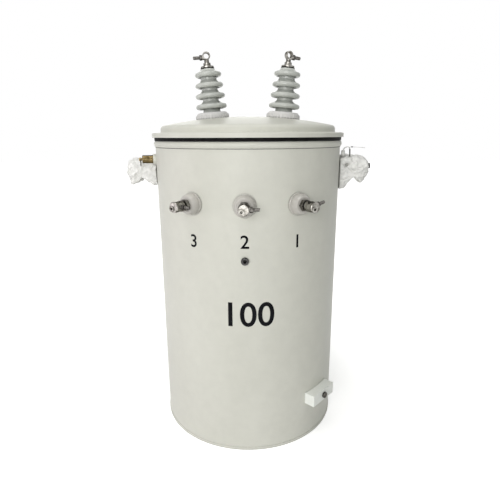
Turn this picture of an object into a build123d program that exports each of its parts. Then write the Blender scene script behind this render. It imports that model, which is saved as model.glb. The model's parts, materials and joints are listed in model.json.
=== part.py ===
# Oil-immersed single-phase distribution transformer, pole-mounted type, in millimetres.
# Z is up, the origin is the centre of the tank's base, and the low-voltage side faces -Y.
from build123d import *
from math import asin, cos, radians, sin, sqrt
import os

os.makedirs("parts", exist_ok=True)

# Clearances: pieces that are welded or pressed together stand this far apart
weld_gap = 0.05

# Tank
tank_radius = 280
tank_wall = 3
tank_height = 896
foot_height = 8
foot_proud = 1.5
foot_wall = 4.5
foot_chamfer = 0.75
bottom_recess = 22
bottom_thickness = 5
filling_play = 1
filling_below_spigots = 5

# Rolled bead round the top, and the gasket on it
rim_height = 18
rim_proud = 4.5
rim_wall = 3
gasket_height = 19
gasket_proud = 2.5
gasket_land = 18

# Lid: a turned-down edge, a flat flange, a step and a shallow dome
lid_sheet = 3
lid_overhang = 9
lid_lip_drop = 13
lid_step_inset = 17
lid_step_height = 19
dome_rise = 28
lip_fillet = 3.5
flange_fillet = 4
shoulder_fillet = 11

# High-voltage bushings, square to the dome
hv_reach = 107
hv_neck_radius = 27
hv_neck_play = 1.5
hv_neck_below = 40
flange_seat = 0.3
foot_flange_radius = 38
foot_flange_height = 8
collar_radius = 49
collar_height = 17
collar_chamfer = 6
collar_play = 0.3
core_radius = 24
shed_count = 4
shed_first = 35
shed_pitch = 30
shed_radius_low = 46.7
shed_radius_high = 39.4
shed_rim = 7
shed_rise = 16
shed_lip = 2.5
shed_under = 2
shed_sag = 1
porcelain_top_margin = 15
seal_radius = 20.5
seal_height = 4
cap_radius = 19
cap_edge = 3
cap_height = 14
cap_neck_radius = 10

# High-voltage connectors: a stud with an eye, and a bolt that clamps the wire in it
hv_stud_radius = 7
hv_stud_depth = 15
stud_play = 0.3
hv_eye_neck = 8
hv_eye_outer = 11.5
hv_eye_hole = 8
hv_eye_turn = {"left": 12, "right": 28}
hv_bolt_drop = 4
hv_bolt_seat = 13
hv_bolt_radius = 4.5
hv_bolt_reach = 39
seat_radius = 6.5
clamp_nut_flats = 13
clamp_nut_height = 7
bolt_chamfer = 1

# Low-voltage bushings, round the front of the tank
lv_height = 736
lv_spacing_angle = 30
lv_wall_play = 1.5
lv_spigot_radius = 13.5
lv_spigot_depth = 25
lv_base_radius = 30.5
lv_base_thickness = 6
lv_base_chamfer = 1.5
lv_body_length = 27
lv_shoulder_radius = 28.3
lv_face_radius = 21.5
lv_body_bulge = 2
lv_nut_flats = 27
lv_nut_height = 11

# Low-voltage connectors: a barrel on the stud, with an upright eye, and its clamp bolt
lv_stud_radius = 8
lv_barrel_gap = 6
lv_barrel_length = 32
lv_barrel_radius = 14
lv_barrel_chamfer = 1.5
lv_eye_hole = 8.5
lv_end_radius = 7
lv_end_hole = 3.5
lv_end_proud = 2
lv_end_depth = 4
lv_end_offset = 4.5
lv_end_drop = 3.5
lv_bolt_seat = 15.5
lv_bolt_radius = 4
lv_bolt_reach = 40
lv_turn = {"left": 0, "middle": 0, "right": 15}

# Ground boss below the middle bushing
boss_height = 589
boss_radius = 10.5
boss_proud = 8
boss_chamfer = 1
boss_hole = 5.1
boss_hole_depth = 7

# Pressure relief valve with its pull ring
valve_angle = -78
valve_below_rim = 53.5
valve_coupling_radius = 15
valve_coupling_length = 9
valve_flange_radius = 13
valve_flange_length = 2
valve_body_radius = 11.7
valve_body_length = 32
valve_chamfer = 1.5
valve_bore = 4
valve_stem_play = 0.4
tang_gap = 1
tang_length = 10
tang_height = 10
tang_thickness = 4
tang_fillet = 3
ring_offset = 5.5
ring_radius = 10
ring_wire = 0.9
ring_hole_play = 0.35

# Lifting lugs at the sides
lug_angle = {"left": -90, "right": 90}
lug_thickness = 10
lug_below_rim = 111
lug_length = 72
lug_root_height = 38
lug_nose_height = 45
lug_nose_width = 20
lug_heel = 10
lug_toe = 20

# Foam tied round each lug: rolls at its root and at its nose, pinched between them
foam_half_depth = 38
foam_gap = 1
foam_fillet = 5
foam_root_reach = 17
foam_root_roll = 16
foam_root_rise = {"left": 27, "right": 49}
foam_root_droop = {"left": -11, "right": -22}
foam_nose_roll = 20
foam_nose_reach = {"left": 0, "right": -6}
foam_nose_rise = {"left": 39, "right": 43}
foam_nose_droop = {"left": 4, "right": 7}
foam_pinch_reach = 47
foam_pinch_rise = 5
foam_pinch_slope = {"left": 0.8, "right": 0.7}
foam_pinch_fillet = 5
foam_lip_fillet = 9

# Sheet box low on the tank, open underneath
box_angle = 50
box_stand_off = 29
box_width = 107
box_low = 120
box_height = 35
box_sheet = 3
box_hole = 6.5
box_bolt_radius = 5
box_bolt_flats = 16
box_bolt_head = 7

# Hanger brackets at the back
hanger_angle = 180
hanger_mid_height = 480
hanger_spacing = 590
hanger_width = 100
hanger_height = 130
hanger_stand_off = 65
hanger_plate = 8
hanger_fillet = 6
slot_width = 18
slot_length = 42

# Levels and radii that follow from these
shell_top = tank_height - rim_height
gasket_outer = tank_radius + gasket_proud
gasket_inner = tank_radius - gasket_land
flange_top = tank_height + gasket_height + lid_sheet
lid_low = flange_top - lid_lip_drop
lid_edge_radius = tank_radius + lid_overhang
lid_step_radius = tank_radius - lid_step_inset
lid_apex = flange_top + lid_step_height + dome_rise
dome_radius = (lid_step_radius**2 + dome_rise**2) / (2 * dome_rise)
bore_radius = hv_stud_radius + stud_play
porcelain_top = shed_first + shed_pitch * (shed_count - 1) + porcelain_top_margin
seal_top = porcelain_top + seal_height
cap_top = seal_top + cap_height
eye_level = cap_top + hv_eye_neck + hv_eye_outer
lv_base = tank_radius + weld_gap
lv_bore = lv_stud_radius + stud_play
lv_body_end = lv_base + lv_body_length
lv_nut_end = lv_body_end + lv_nut_height
lv_barrel_start = lv_nut_end + lv_barrel_gap
lv_barrel_end = lv_barrel_start + lv_barrel_length
lv_barrel_middle = (lv_barrel_start + lv_barrel_end) / 2
valve_height = tank_height - valve_below_rim
valve_start = tank_radius + valve_coupling_length
valve_face = valve_start + valve_body_length
hinge_reach = valve_face + ring_offset
lug_low = tank_height - lug_below_rim
box_face = tank_radius + box_stand_off
box_middle = box_low + box_height / 2
lug_end = tank_radius + lug_length
lug_throat = lug_low + lug_root_height
filling_top = lv_height - lv_spigot_radius - filling_below_spigots
hanger_face = tank_radius + hanger_stand_off


# Helpers for planes that stand on the tank and on the lid
def outward(azimuth):
    return Vector(sin(radians(azimuth)), -cos(radians(azimuth)), 0)


def sideways(azimuth):
    return Vector(cos(radians(azimuth)), sin(radians(azimuth)), 0)


def wall_plane(azimuth, height, distance=tank_radius):
    """Faces straight out of the tank wall: x runs round the tank, y runs up."""
    origin = outward(azimuth) * distance + Vector(0, 0, height)
    return Plane(origin=origin, x_dir=sideways(azimuth), z_dir=outward(azimuth))


def section_plane(azimuth, height=0):
    """Upright plane through the tank's axis: x runs outward, y runs up."""
    return Plane(origin=(0, 0, height), x_dir=outward(azimuth), z_dir=sideways(azimuth) * -1)


def radial_axis(azimuth, height):
    return Axis((0, 0, height), outward(azimuth))


def wall_behind(width):
    """Distance of the tank's skin from its axis plane, at the edge of a piece of this width."""
    return sqrt(tank_radius**2 - (width / 2) ** 2)


def trim_to_wall(low, high, gap=weld_gap):
    """Cuts away what the open part has inside the tank's skin between two heights."""
    with BuildSketch(Plane.XY.offset(low)) as inside:
        Circle(tank_radius + gap)
    extrude(inside.sketch, amount=high - low, mode=Mode.SUBTRACT)


def hv_directions(side):
    lean = asin(hv_reach / dome_radius)
    along = Vector(side * sin(lean), 0, cos(lean))
    across = Vector(side * cos(lean), 0, -sin(lean))
    return along, across


def hv_point(side, height):
    along, _ = hv_directions(side)
    return Vector(0, 0, lid_apex - dome_radius) + along * (dome_radius + height)


def hv_plane(side, height=0):
    """Square to the bushing's axis, at a height above the lid: x points away from the lid's middle."""
    along, across = hv_directions(side)
    return Plane(origin=hv_point(side, height), x_dir=across, z_dir=along)


def hv_section(side):
    """Upright plane through the bushing's axis: x points away from the lid's middle, y along the axis."""
    along, across = hv_directions(side)
    return Plane(origin=hv_point(side, 0), x_dir=across, z_dir=across.cross(along))


def hv_axis(side):
    along, _ = hv_directions(side)
    return Axis(hv_point(side, 0), along)


def dome_drop(radius):
    return dome_radius - sqrt(dome_radius**2 - radius**2)


def turned(plane, direction, angle):
    """The plane, turned about a direction through its own origin."""
    line = Axis(plane.origin, direction)
    return Plane(plane.origin, x_dir=plane.x_dir.rotate(line, angle), z_dir=plane.z_dir.rotate(line, angle))


def bolt_plane(plane, reach, drop=0):
    """Faces along the x of an eye's plane, beside its middle."""
    foot = plane.origin + plane.x_dir * reach - plane.y_dir * drop
    return Plane(origin=foot, x_dir=plane.y_dir, z_dir=plane.x_dir)


def clamp_bolt(part, plane, radius, length):
    """Hex nut on the plane, with the threaded shank standing out of it."""
    with BuildSketch(plane) as nut:
        RegularPolygon(radius=clamp_nut_flats / 2, side_count=6, major_radius=False)
    extrude(nut.sketch, amount=clamp_nut_height)
    with BuildSketch(plane) as shank:
        Circle(radius)
    extrude(shank.sketch, amount=length)
    tip = part.edges().filter_by(GeomType.CIRCLE).sort_by_distance(plane.origin)[-1]
    chamfer(tip, length=bolt_chamfer)


def save(part, name):
    part.label = name
    export_step(part, "parts/" + name + ".step")


hv_sides = {"left": -1, "right": 1}
lv_angles = {"left": -lv_spacing_angle, "middle": 0, "right": lv_spacing_angle}

# Tank shell with the holes for the low-voltage bushings and the relief valve
with BuildPart() as tank_shell:
    with BuildSketch(Plane.XY.offset(foot_height)):
        Circle(tank_radius)
        Circle(tank_radius - tank_wall, mode=Mode.SUBTRACT)
    extrude(amount=shell_top - foot_height)
    with Locations(*[wall_plane(angle, lv_height) for angle in lv_angles.values()]):
        Hole(radius=lv_spigot_radius + lv_wall_play, depth=tank_wall * 3)
    with Locations(wall_plane(valve_angle, valve_height)):
        Hole(radius=valve_bore, depth=tank_wall * 3)
save(tank_shell.part, "tank_shell")

# Floor of the tank, set up inside the shell
with BuildPart() as tank_bottom:
    with BuildSketch(Plane.XY.offset(bottom_recess)):
        Circle(tank_radius - tank_wall - weld_gap)
    extrude(amount=bottom_thickness)
save(tank_bottom.part, "tank_bottom")

# Sealed filling: one plain body for the core and coils in their oil
with BuildPart() as core_and_oil:
    with BuildSketch(Plane.XY.offset(bottom_recess + bottom_thickness + weld_gap)):
        Circle(tank_radius - tank_wall - filling_play)
    extrude(amount=filling_top - bottom_recess - bottom_thickness - weld_gap)
save(core_and_oil.part, "core_and_oil")

# Band round the foot of the shell
with BuildPart() as foot_ring:
    with BuildSketch():
        Circle(tank_radius + foot_proud)
        Circle(tank_radius + foot_proud - foot_wall, mode=Mode.SUBTRACT)
    extrude(amount=foot_height)
    outer_edges = foot_ring.edges().filter_by(GeomType.CIRCLE).group_by(SortBy.RADIUS)[-1]
    chamfer(outer_edges.sort_by(Axis.Z)[-1], length=foot_chamfer)
save(foot_ring.part, "foot_ring")

# Rolled bead round the top of the tank
with BuildPart() as tank_rim:
    with BuildSketch(Plane.XZ):
        with BuildLine():
            inner_foot = (tank_radius - rim_wall, shell_top)
            foot = (tank_radius, shell_top)
            belly = (tank_radius + rim_proud, shell_top + rim_height / 2)
            crown = (tank_radius, tank_height)
            Line(inner_foot, foot)
            ThreePointArc(foot, belly, crown)
            Polyline(crown, (tank_radius - rim_wall, tank_height), inner_foot)
        make_face()
    revolve(axis=Axis.Z)
save(tank_rim.part, "tank_rim")

# Gasket between the rim and the lid
with BuildPart() as lid_gasket:
    with BuildSketch(Plane.XY.offset(tank_height)):
        Circle(gasket_outer)
        Circle(gasket_inner, mode=Mode.SUBTRACT)
    extrude(amount=gasket_height)
save(lid_gasket.part, "lid_gasket")


# Pressed lid
def lid_face(inset):
    """Half section under the lid's outer skin, or under its inner skin when inset by the sheet."""
    ball = dome_radius - inset
    wall = lid_step_radius - inset
    edge = lid_edge_radius - inset
    level = flange_top - inset
    middle = lid_apex - dome_radius
    corner = middle + sqrt(ball**2 - wall**2)
    halfway = middle + sqrt(ball**2 - (wall / 2) ** 2)
    with BuildSketch(Plane.XZ, mode=Mode.PRIVATE) as face:
        with BuildLine():
            Polyline((0, lid_low), (edge, lid_low), (edge, level), (wall, level), (wall, corner))
            ThreePointArc((wall, corner), (wall / 2, halfway), (0, middle + ball))
            Line((0, middle + ball), (0, lid_low))
        make_face()
        fillet(face.vertices().sort_by_distance((edge, level))[0], radius=lip_fillet - inset)
        fillet(face.vertices().sort_by_distance((wall, level))[0], radius=flange_fillet + inset)
        fillet(face.vertices().sort_by_distance((wall, corner))[0], radius=shoulder_fillet - inset)
    return face.sketch


with BuildPart() as lid:
    revolve(lid_face(0), axis=Axis.Z)
    revolve(lid_face(lid_sheet), axis=Axis.Z, mode=Mode.SUBTRACT)
    with Locations(*[hv_plane(side) for side in hv_sides.values()]):
        Hole(radius=hv_neck_radius + hv_neck_play, depth=hv_neck_below)
save(lid.part, "lid")


# High-voltage bushings
def shed_radius(index):
    share = index / (shed_count - 1)
    return shed_radius_low + (shed_radius_high - shed_radius_low) * share


def porcelain_outline():
    """Right-hand outline from the foot up: neck, foot flange, then one drooping shed after another."""
    flange = flange_seat + foot_flange_height
    low = (core_radius, shed_first - shed_under)
    Polyline(
        (bore_radius, -hv_neck_below),
        (hv_neck_radius, -hv_neck_below),
        (hv_neck_radius, flange_seat),
        (foot_flange_radius, flange_seat),
        (foot_flange_radius, flange),
        (hv_neck_radius, flange),
        (hv_neck_radius, collar_height),
        low,
    )
    for index in range(shed_count):
        rim = shed_first + shed_pitch * index
        radius = shed_radius(index)
        inner = (radius - shed_rim - shed_lip, rim - shed_rim + shed_lip / 3)
        brim = (radius - shed_rim, rim - shed_rim)
        crest = (radius - shed_rim, rim + shed_rim)
        last = index == shed_count - 1
        root = (seal_radius if last else core_radius, rim + shed_rise)
        hollow = ((core_radius + inner[0]) / 2, (low[1] + inner[1] + shed_lip) / 2)
        slope = ((crest[0] + root[0]) / 2 - shed_sag, (crest[1] + root[1]) / 2 - shed_sag)
        ThreePointArc(low, hollow, inner)
        Line(inner, brim)
        ThreePointArc(brim, (radius, rim), crest)
        ThreePointArc(crest, slope, root)
        low = (core_radius, rim + shed_pitch - shed_under)
        if not last:
            Line(root, low)
    Polyline(root, (seal_radius, porcelain_top), (bore_radius, porcelain_top), (bore_radius, -hv_neck_below))


for word, side in hv_sides.items():
    # Collar that clamps the porcelain's foot flange to the lid
    with BuildPart() as collar:
        with BuildSketch(hv_section(side)):
            with BuildLine():
                inner = hv_neck_radius + collar_play
                pocket = foot_flange_radius + collar_play
                shelf = flange_seat + foot_flange_height + collar_play
                Polyline(
                    (pocket, weld_gap - dome_drop(pocket)),
                    (collar_radius, weld_gap - dome_drop(collar_radius)),
                    (collar_radius, collar_height - collar_chamfer),
                    (collar_radius - collar_chamfer, collar_height),
                    (inner, collar_height),
                    (inner, shelf),
                    (pocket, shelf),
                    close=True,
                )
            make_face()
        revolve(axis=hv_axis(side))
    save(collar.part, "hv_collar_" + word)

    with BuildPart() as porcelain:
        with BuildSketch(hv_section(side)):
            with BuildLine():
                porcelain_outline()
            make_face()
        revolve(axis=hv_axis(side))
    save(porcelain.part, "hv_porcelain_" + word)

    with BuildPart() as seal:
        with BuildSketch(hv_plane(side, porcelain_top)):
            Circle(seal_radius)
            Circle(bore_radius, mode=Mode.SUBTRACT)
        extrude(amount=seal_height)
    save(seal.part, "hv_seal_" + word)

    # Coned cap on the seal
    with BuildPart() as cap:
        with BuildSketch(hv_section(side)):
            with BuildLine():
                Polyline(
                    (bore_radius, seal_top),
                    (cap_radius, seal_top),
                    (cap_radius, seal_top + cap_edge),
                    (cap_neck_radius, cap_top),
                    (bore_radius, cap_top),
                    close=True,
                )
            make_face()
        revolve(axis=hv_axis(side))
    save(cap.part, "hv_cap_" + word)

    # Stud that ends in an eye: the eye's plane has x towards its bolt and y up the bushing
    upright = hv_section(side)
    eye_plane = turned(upright, upright.y_dir, hv_eye_turn[word])
    eye_plane.origin = hv_point(side, eye_level)
    with BuildPart() as connector:
        with BuildSketch(eye_plane):
            Circle(hv_eye_outer)
        extrude(amount=hv_stud_radius, both=True)
        chamfer(connector.edges().filter_by(GeomType.CIRCLE), length=bolt_chamfer)
        with BuildSketch(hv_plane(side, seal_top - hv_stud_depth)):
            Circle(hv_stud_radius)
        extrude(amount=eye_level - seal_top + hv_stud_depth)
        with BuildSketch(bolt_plane(eye_plane, 0, hv_bolt_drop)):
            Circle(seat_radius)
        extrude(amount=hv_bolt_seat)
        with BuildSketch(eye_plane):
            Circle(hv_eye_hole)
        extrude(amount=hv_stud_radius + seat_radius, both=True, mode=Mode.SUBTRACT)
    save(connector.part, "hv_connector_" + word)

    with BuildPart() as bolt:
        seat = bolt_plane(eye_plane, hv_bolt_seat + weld_gap, hv_bolt_drop)
        clamp_bolt(bolt, seat, hv_bolt_radius, hv_bolt_reach - hv_bolt_seat)
    save(bolt.part, "hv_bolt_" + word)

# Low-voltage bushings: a domed body on the wall and its nut, a barrel connector and its bolt
for word, angle in lv_angles.items():
    with BuildPart() as bushing:
        with BuildSketch(section_plane(angle, lv_height)):
            with BuildLine():
                back = lv_base - lv_base_thickness
                flange = lv_base + lv_base_thickness
                middle = ((flange + lv_body_end) / 2, (lv_shoulder_radius + lv_face_radius) / 2)
                bulge = (middle[0] + lv_body_bulge, middle[1] + lv_body_bulge)
                Polyline(
                    (lv_body_end, lv_face_radius),
                    (lv_body_end, lv_bore),
                    (back, lv_bore),
                    (back, lv_base_radius),
                    (flange - lv_base_chamfer, lv_base_radius),
                    (flange, lv_base_radius - lv_base_chamfer),
                    (flange, lv_shoulder_radius),
                )
                ThreePointArc((flange, lv_shoulder_radius), bulge, (lv_body_end, lv_face_radius))
            make_face()
        revolve(axis=radial_axis(angle, lv_height))
        trim_to_wall(lv_height - 2 * lv_base_radius, lv_height + 2 * lv_base_radius)
        with BuildSketch(wall_plane(angle, lv_height, lv_base - lv_spigot_depth)):
            Circle(lv_spigot_radius)
            Circle(lv_bore, mode=Mode.SUBTRACT)
        extrude(amount=lv_spigot_depth + lv_base_thickness)
    save(bushing.part, "lv_bushing_" + word)

    with BuildPart() as nut:
        with BuildSketch(wall_plane(angle, lv_height, lv_body_end)):
            RegularPolygon(radius=lv_nut_flats / 2, side_count=6, major_radius=False)
            Circle(lv_bore, mode=Mode.SUBTRACT)
        extrude(amount=lv_nut_height)
    save(nut.part, "lv_nut_" + word)

    # The barrel's plane at its eye: x towards the bolt, y up the eye, z out along the stud
    barrel = wall_plane(angle, lv_height, lv_barrel_middle)
    barrel = turned(barrel, barrel.z_dir, lv_turn[word])
    with BuildPart() as connector:
        with BuildSketch(barrel.offset(-lv_barrel_length / 2)):
            Circle(lv_barrel_radius)
        extrude(amount=lv_barrel_length)
        chamfer(connector.edges().filter_by(GeomType.CIRCLE), length=lv_barrel_chamfer)
        with BuildSketch(wall_plane(angle, lv_height, lv_base)):
            Circle(lv_stud_radius)
        extrude(amount=lv_barrel_start + lv_barrel_chamfer - lv_base)
        with BuildSketch(bolt_plane(barrel, 0)):
            Circle(seat_radius)
        extrude(amount=lv_bolt_seat)
        with BuildSketch(Plane(origin=barrel.origin, x_dir=barrel.z_dir, z_dir=barrel.y_dir)):
            Circle(lv_eye_hole)
        extrude(amount=lv_barrel_radius, both=True, mode=Mode.SUBTRACT)
        with BuildSketch(barrel.offset(lv_barrel_length / 2)):
            with Locations((-lv_end_offset, -lv_end_drop)):
                Circle(lv_end_radius)
        extrude(amount=lv_end_proud)
        with Locations(barrel.offset(lv_barrel_length / 2 + lv_end_proud)):
            with Locations((-lv_end_offset, -lv_end_drop)):
                Hole(radius=lv_end_hole, depth=lv_end_depth)
    save(connector.part, "lv_connector_" + word)

    with BuildPart() as bolt:
        seat = bolt_plane(barrel, lv_bolt_seat + weld_gap)
        clamp_bolt(bolt, seat, lv_bolt_radius, lv_bolt_reach - lv_bolt_seat)
    save(bolt.part, "lv_bolt_" + word)

# Threaded ground boss
with BuildPart() as ground_boss:
    with BuildSketch(wall_plane(0, boss_height, tank_radius - boss_proud)):
        Circle(boss_radius)
    extrude(amount=2 * boss_proud)
    rims = ground_boss.edges().filter_by(GeomType.CIRCLE)
    chamfer(rims.sort_by(Axis.Y)[0], length=boss_chamfer)
    trim_to_wall(boss_height - 2 * boss_radius, boss_height + 2 * boss_radius)
    with Locations(wall_plane(0, boss_height, tank_radius + boss_proud)):
        Hole(radius=boss_hole, depth=boss_hole_depth)
save(ground_boss.part, "ground_boss")

# Pressure relief valve: a coupling on the wall, the body, and the stem with its tang
with BuildPart() as valve_coupling:
    with BuildSketch(wall_plane(valve_angle, valve_height, tank_radius - valve_coupling_length)):
        Circle(valve_coupling_radius)
        Circle(valve_bore, mode=Mode.SUBTRACT)
    extrude(amount=2 * valve_coupling_length)
    trim_to_wall(valve_height - 2 * valve_coupling_radius, valve_height + 2 * valve_coupling_radius)
save(valve_coupling.part, "valve_coupling")

with BuildPart() as valve_body:
    with BuildSketch(section_plane(valve_angle, valve_height)):
        with BuildLine():
            Polyline(
                (valve_start, valve_bore),
                (valve_start, valve_flange_radius),
                (valve_start + valve_flange_length, valve_flange_radius),
                (valve_start + valve_flange_length, valve_body_radius),
                (valve_face - valve_chamfer, valve_body_radius),
                (valve_face, valve_body_radius - valve_chamfer),
                (valve_face, valve_bore),
                close=True,
            )
        make_face()
    revolve(axis=radial_axis(valve_angle, valve_height))
save(valve_body.part, "valve_body")

with BuildPart() as valve_stem:
    tang_start = valve_face + tang_gap
    tang_reach = tang_length - tang_gap
    with BuildSketch(wall_plane(valve_angle, valve_height, valve_start + valve_flange_length)):
        Circle(valve_bore - valve_stem_play)
    extrude(amount=tang_start - valve_start - valve_flange_length)
    with BuildSketch(section_plane(valve_angle, valve_height)):
        with Locations((tang_start + tang_reach / 2, 0)):
            RectangleRounded(tang_reach, tang_height, radius=tang_fillet)
    extrude(amount=tang_thickness / 2, both=True)
    with BuildSketch(section_plane(valve_angle, valve_height)):
        with Locations((hinge_reach, 0)):
            Circle(ring_wire + ring_hole_play)
    extrude(amount=tang_thickness, both=True, mode=Mode.SUBTRACT)
save(valve_stem.part, "valve_stem")

# Pull ring, hanging in the tang's hole
ring_middle = outward(valve_angle) * hinge_reach + Vector(0, 0, valve_height - ring_radius)
with BuildPart() as pull_ring:
    with BuildLine(Plane(origin=ring_middle, x_dir=sideways(valve_angle), z_dir=outward(valve_angle))):
        CenterArc((0, 0), ring_radius, 0, 360)
    ring_start = ring_middle + sideways(valve_angle) * ring_radius
    with BuildSketch(Plane(origin=ring_start, x_dir=sideways(valve_angle), z_dir=(0, 0, 1))):
        Circle(ring_wire)
    sweep()
save(pull_ring.part, "pull_ring")


# Lifting lugs, and the foam tied round each
def lug_outline():
    """Hooked plate: its root on the tank, its nose turned up."""
    root = tank_radius - lug_thickness
    nose = lug_low + lug_nose_height
    Polyline(
        (root, lug_low),
        (tank_radius + lug_heel, lug_low),
        (lug_end - lug_heel, lug_low + lug_heel),
        (lug_end, lug_low + lug_toe),
        (lug_end, nose),
        (lug_end - lug_nose_width, nose),
        (lug_end - 2 * lug_nose_width, lug_throat),
        (root, lug_throat),
        close=True,
    )


for word, angle in lug_angle.items():
    with BuildPart() as lug:
        with BuildSketch(section_plane(angle)):
            with BuildLine():
                lug_outline()
            make_face()
        extrude(amount=lug_thickness / 2, both=True)
        trim_to_wall(lug_low - lug_thickness, lug_throat + lug_thickness)
    save(lug.part, "lifting_lug_" + word)

    # Four rolls stand at the foam's corners, and a pinch is cut between the two low ones
    root_reach = tank_radius + foam_root_reach
    nose_reach = lug_end + foam_nose_reach[word]
    foam_top = lug_low + foam_nose_rise[word] + foam_nose_roll
    foam_bottom = lug_low + foam_root_droop[word] - foam_root_roll
    pinch_top = (tank_radius + foam_pinch_reach, lug_low + foam_pinch_rise)
    pinch_low = foam_bottom - foam_root_roll
    pinch_spread = (pinch_top[1] - pinch_low) * foam_pinch_slope[word]
    root_low, root_high = foam_root_droop[word], foam_root_rise[word]
    nose_low, nose_high = foam_nose_droop[word], foam_nose_rise[word]
    with BuildPart() as foam:
        with BuildSketch(section_plane(angle)) as outline:
            with Locations((root_reach, lug_low + root_low), (root_reach, lug_low + root_high)):
                Circle(foam_root_roll)
            with Locations((nose_reach, lug_low + nose_low), (nose_reach, lug_low + nose_high)):
                Circle(foam_nose_roll)
            make_hull()
            Polygon(
                pinch_top,
                (pinch_top[0] - pinch_spread, pinch_low),
                (pinch_top[0] + pinch_spread, pinch_low),
                align=None,
                mode=Mode.SUBTRACT,
            )
            fillet(outline.vertices().sort_by_distance(pinch_top)[1:3], radius=foam_lip_fillet)
            fillet(outline.vertices().sort_by_distance(pinch_top)[0], radius=foam_pinch_fillet)
        extrude(amount=foam_half_depth, both=True)
        ends = foam.faces().sort_by(Axis.Y)
        fillet(ends[0].edges() + ends[-1].edges(), radius=foam_fillet)
        with BuildSketch(section_plane(angle)):
            with BuildLine():
                lug_outline()
            make_face()
            offset(amount=foam_gap, kind=Kind.INTERSECTION)
        extrude(amount=lug_thickness / 2 + foam_gap, both=True, mode=Mode.SUBTRACT)
        trim_to_wall(foam_bottom - foam_gap, foam_top + foam_root_roll, foam_gap)
    save(foam.part, "foam_wrap_" + word)

# Sheet box low on the tank, open underneath, with a bolt through its face
box_plane = wall_plane(box_angle, box_middle, box_face)
box_depth = box_face - wall_behind(box_width) + box_sheet
with BuildPart() as lower_box:
    with BuildSketch(box_plane.offset(-box_depth)):
        Rectangle(box_width, box_height)
    extrude(amount=box_depth)
    with BuildSketch(box_plane.offset(-box_depth)):
        with Locations((0, -box_sheet)):
            Rectangle(box_width - 2 * box_sheet, box_height)
    extrude(amount=box_depth - box_sheet, mode=Mode.SUBTRACT)
    trim_to_wall(box_low - box_sheet, box_low + box_height + box_sheet)
    with Locations(box_plane):
        Hole(radius=box_hole, depth=2 * box_sheet)
save(lower_box.part, "lower_box")

with BuildPart() as box_bolt:
    with BuildSketch(box_plane.offset(weld_gap)):
        RegularPolygon(radius=box_bolt_flats / 2, side_count=6, major_radius=False)
    extrude(amount=box_bolt_head)
    with BuildSketch(box_plane.offset(weld_gap)):
        Circle(box_bolt_radius)
    extrude(amount=box_sheet - box_stand_off)
save(box_bolt.part, "box_bolt")

# Hanger brackets at the back: channels with an upright slot for the pole bolt
hanger_depth = hanger_face - wall_behind(hanger_width) + hanger_plate
for word, level in {"lower": -hanger_spacing / 2, "upper": hanger_spacing / 2}.items():
    middle_height = hanger_mid_height + level
    face_plane = wall_plane(hanger_angle, middle_height, hanger_face)
    with BuildPart() as hanger:
        with BuildSketch(face_plane.offset(-hanger_depth)):
            Rectangle(hanger_width, hanger_height)
            Rectangle(hanger_width - 2 * hanger_plate, hanger_height, mode=Mode.SUBTRACT)
        extrude(amount=hanger_depth)
        with BuildSketch(face_plane.offset(-hanger_plate)):
            Rectangle(hanger_width, hanger_height)
            SlotOverall(slot_length, slot_width, rotation=90, mode=Mode.SUBTRACT)
        extrude(amount=hanger_plate)
        corners = hanger.edges().filter_by(Axis.Z).sort_by(Axis.Y)[-2:]
        fillet(corners, radius=hanger_fillet)
        trim_to_wall(middle_height - hanger_height, middle_height + hanger_height)
    save(hanger.part, "hanger_bracket_" + word)
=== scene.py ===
import json
import math

import bmesh
import bpy
from mathutils import Matrix, Vector, noise


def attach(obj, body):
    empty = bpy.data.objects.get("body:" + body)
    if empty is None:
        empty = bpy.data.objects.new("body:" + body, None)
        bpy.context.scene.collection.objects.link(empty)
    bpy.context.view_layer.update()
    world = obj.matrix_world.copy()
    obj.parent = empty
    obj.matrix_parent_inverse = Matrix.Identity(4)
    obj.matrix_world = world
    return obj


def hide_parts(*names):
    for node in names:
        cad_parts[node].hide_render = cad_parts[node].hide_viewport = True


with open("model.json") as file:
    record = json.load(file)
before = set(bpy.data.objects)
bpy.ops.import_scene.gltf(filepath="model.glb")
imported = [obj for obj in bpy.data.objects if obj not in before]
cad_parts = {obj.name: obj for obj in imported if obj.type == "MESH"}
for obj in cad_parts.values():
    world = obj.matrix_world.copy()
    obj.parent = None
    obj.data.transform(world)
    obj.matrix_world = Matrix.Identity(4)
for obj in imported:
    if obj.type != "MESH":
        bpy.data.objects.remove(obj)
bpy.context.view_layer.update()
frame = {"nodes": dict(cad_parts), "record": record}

ROOT = "transformer"
SIDES = {"left": -1, "right": 1}
UP = Vector((0, 0, 1))

# Sizes of the part, as in its source, in metres and degrees
TANK_RADIUS = 0.280
LID_APEX, LID_STEP_RADIUS, DOME_RISE = 0.965, 0.263, 0.028
DOME_RADIUS = (LID_STEP_RADIUS**2 + DOME_RISE**2) / (2 * DOME_RISE)
HV_REACH, HV_EYE_LEVEL, HV_BOLT_DROP = 0.107, 0.1775, 0.004
HV_TURN = {"left": 12, "right": 28}
LV_HEIGHT = 0.736
LV_ANGLES = {"left": -30, "middle": 0, "right": 30}
LV_TURN = {"left": 0, "middle": 0, "right": 15}
LV_NUT_END, LV_BARREL_START, LV_BARREL_MIDDLE = 0.31805, 0.32405, 0.34005
NUT_HEIGHT = 0.007
BOSS_HEIGHT, BOSS_RADIUS = 0.589, 0.0105
VALVE_ANGLE, VALVE_HEIGHT, COUPLING_RADIUS = -78, 0.8425, 0.015
BOX_ANGLE, BOX_LOW, BOX_HEIGHT, BOX_WIDTH = 50, 0.120, 0.035, 0.107
HANGER_ANGLE, HANGER_WIDTH, HANGER_HEIGHT = 180, 0.100, 0.130
HANGER_MIDDLES = (0.185, 0.775)


# Directions and places
def outward(azimuth):
    """The direction away from the tank's axis: 0 degrees is the front, 90 the right."""
    return Vector((math.sin(math.radians(azimuth)), -math.cos(math.radians(azimuth)), 0))


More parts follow.
